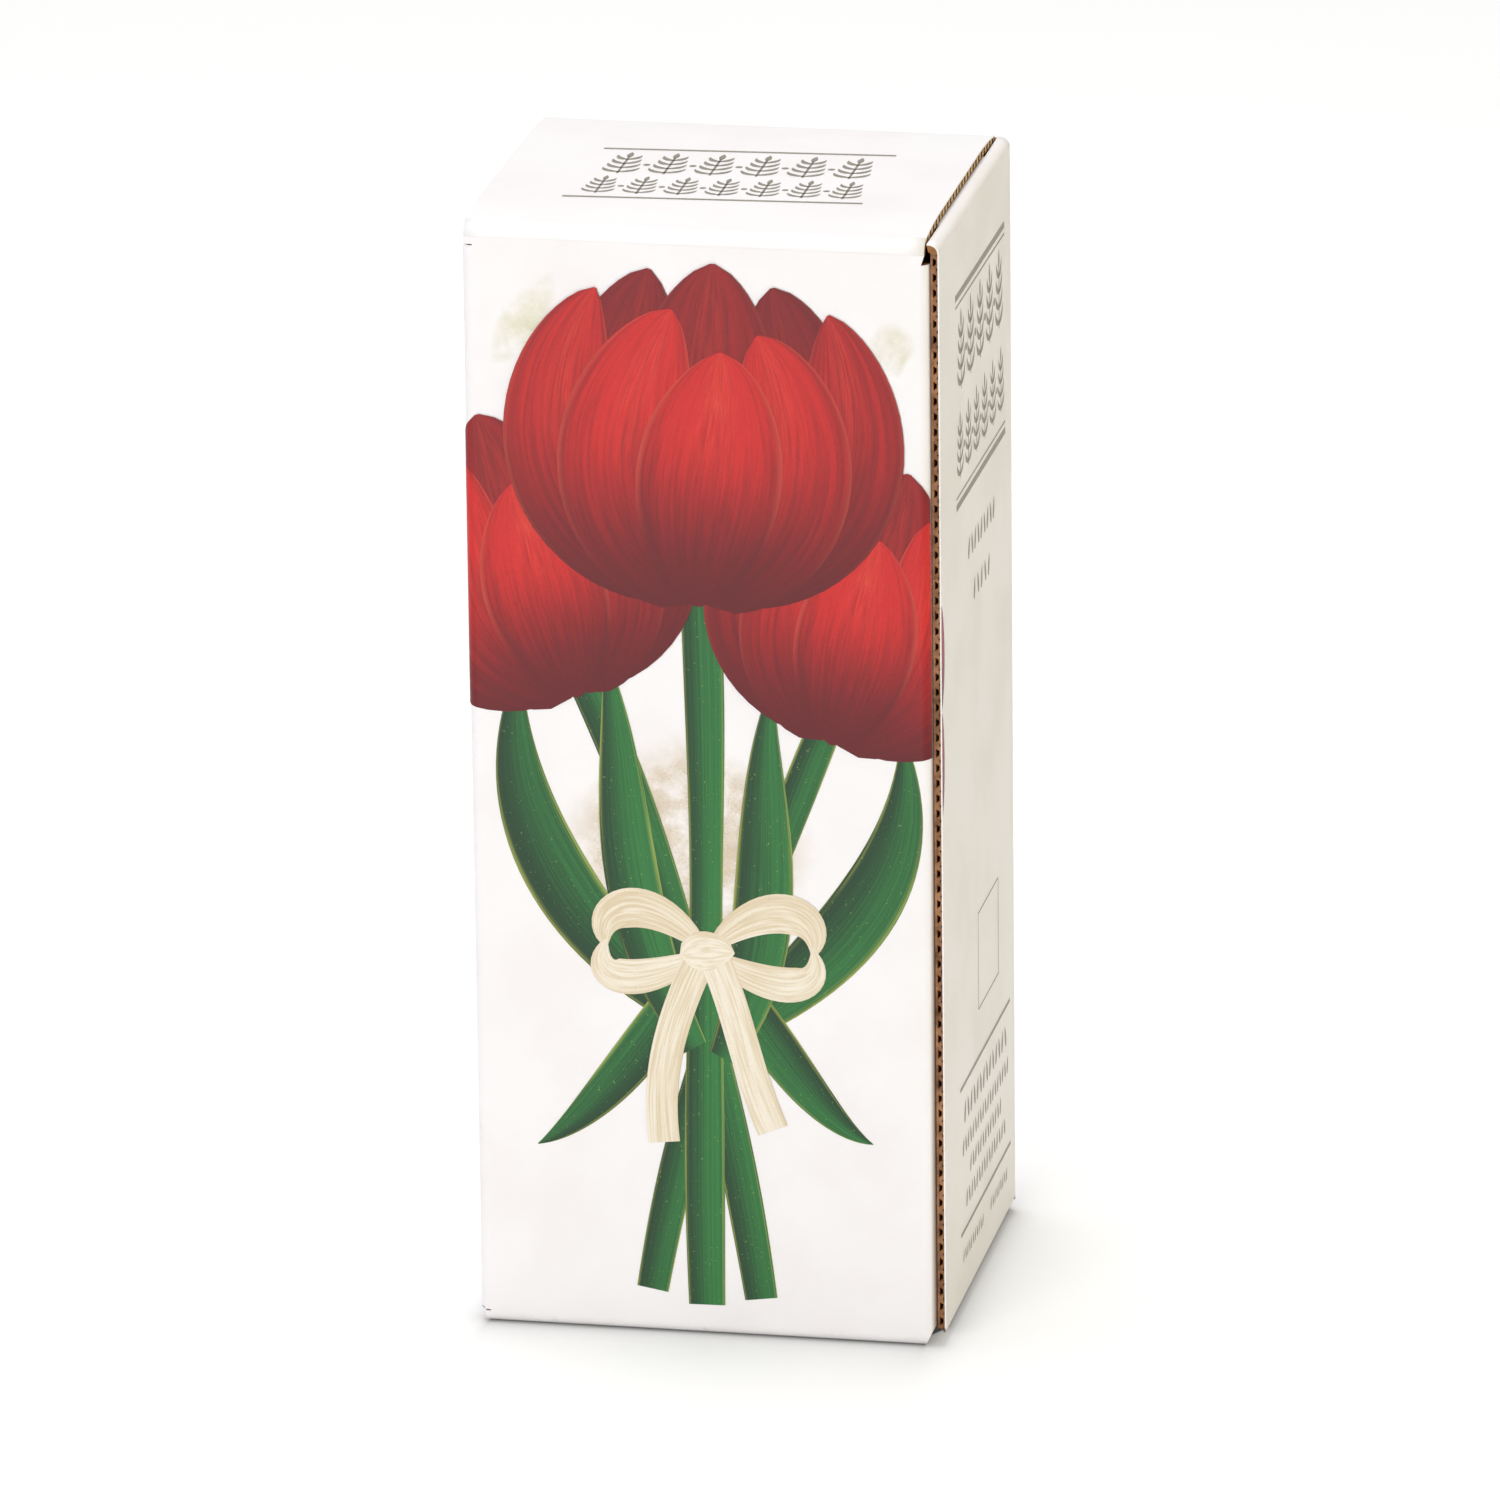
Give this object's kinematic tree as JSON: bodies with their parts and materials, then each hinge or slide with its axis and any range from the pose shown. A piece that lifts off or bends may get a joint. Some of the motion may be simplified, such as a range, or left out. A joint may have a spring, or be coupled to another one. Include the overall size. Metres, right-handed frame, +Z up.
{
  "type": "boxed wall vase",
  "caption": "Tall tuck-top carton of fluted board, with a hanging glass tube vase, its acrylic holder and suction cup inside.",
  "frame": {"origin": "centre of the carton's base, on the surface that it stands on", "axes": "+Z up, -Y out of the front wall that carries the flower print, +X towards the right wall with the raw side seam"},
  "size_m": [0.103, 0.09, 0.25],
  "materials": {
    "printed_sheet": "white clay-coated printed paper, satin",
    "kraft_board": "plain brown fluted board",
    "fluted_board": "plain brown fluted board, drawn with its flutes",
    "clear_glass": "clear polished",
    "clear_acrylic": "clear polished",
    "clear_vinyl": "clear soft vinyl"
  },
  "bodies": {
    "carton": {"outer_sheet": "printed_sheet", "front_board": "kraft_board", "left_board": "kraft_board", "back_board": "kraft_board", "right_board": "fluted_board", "glue_flap": "kraft_board", "front_base_flap": "kraft_board", "back_base_flap": "kraft_board", "left_base_flap": "kraft_board", "right_base_flap": "kraft_board", "front_base_sheet": "printed_sheet", "back_base_sheet": "printed_sheet", "left_base_sheet": "printed_sheet", "right_base_sheet": "printed_sheet", "insert_top": "kraft_board", "insert_left_leg": "kraft_board", "insert_right_leg": "kraft_board"},
    "lid": {"lid_sheet": "printed_sheet", "lid_board": "fluted_board", "lid_fold_sheet": "printed_sheet", "lid_fold_board": "kraft_board"},
    "tuck": {"tuck_sheet": "printed_sheet", "tuck_board": "fluted_board", "tuck_fold_sheet": "printed_sheet", "tuck_fold_board": "kraft_board"},
    "left_dust": {"left_dust_sheet": "printed_sheet", "left_dust_board": "fluted_board", "left_dust_fold_sheet": "printed_sheet", "left_dust_fold_board": "kraft_board"},
    "right_dust": {"right_dust_sheet": "printed_sheet", "right_dust_board": "fluted_board", "right_dust_fold_sheet": "printed_sheet", "right_dust_fold_board": "kraft_board"},
    "vase_holder": {"holder": "clear_acrylic"},
    "cup": {"suction_cup": "clear_vinyl"},
    "tube": {"glass_tube": "clear_glass", "glass_bowl": "clear_glass"}
  },
  "joints": [
    {"name": "lid_fold", "type": "hinge", "parent": "carton", "child": "lid", "pos_m": [0, -0.0441, 0.24772], "axis": [1, 0, 0], "range_deg": [0, 200], "deforming": ["lid_fold_sheet", "lid_fold_board"]},
    {"name": "tuck_fold", "type": "hinge", "parent": "lid", "child": "tuck", "pos_m": [0, 0.0419, 0.24775], "axis": [1, 0, 0], "range_deg": [0, 40], "deforming": ["tuck_fold_sheet", "tuck_fold_board"]},
    {"name": "left_dust_fold", "type": "hinge", "parent": "carton", "child": "left_dust", "pos_m": [-0.0506, 0, 0.24592], "axis": [0, -1, 0], "range_deg": [0, 200], "deforming": ["left_dust_fold_sheet", "left_dust_fold_board"]},
    {"name": "right_dust_fold", "type": "hinge", "parent": "carton", "child": "right_dust", "pos_m": [0.0506, 0, 0.24742], "axis": [0, 1, 0], "range_deg": [0, 200], "deforming": ["right_dust_fold_sheet", "right_dust_fold_board"]},
    {"name": "vase_lift", "type": "slide", "parent": "carton", "child": "vase_holder", "axis": [0, 0, 1], "range_m": [0, 0.04]},
    {"name": "tube_lift", "type": "slide", "parent": "vase_holder", "child": "tube", "axis": [0, 0, 1], "range_m": [0, 0.04]},
    {"name": "cup_spin", "type": "hinge", "parent": "vase_holder", "child": "cup", "pos_m": [0, 0.02, 0.1175], "axis": [0, 1, 0], "continuous": true}
  ],
  "couplings": [
    {"joint": "tuck_fold", "follows": "lid_fold", "ratio": 0.2},
    {"joint": "left_dust_fold", "follows": "lid_fold", "ratio": 1},
    {"joint": "right_dust_fold", "follows": "lid_fold", "ratio": 1}
  ]
}
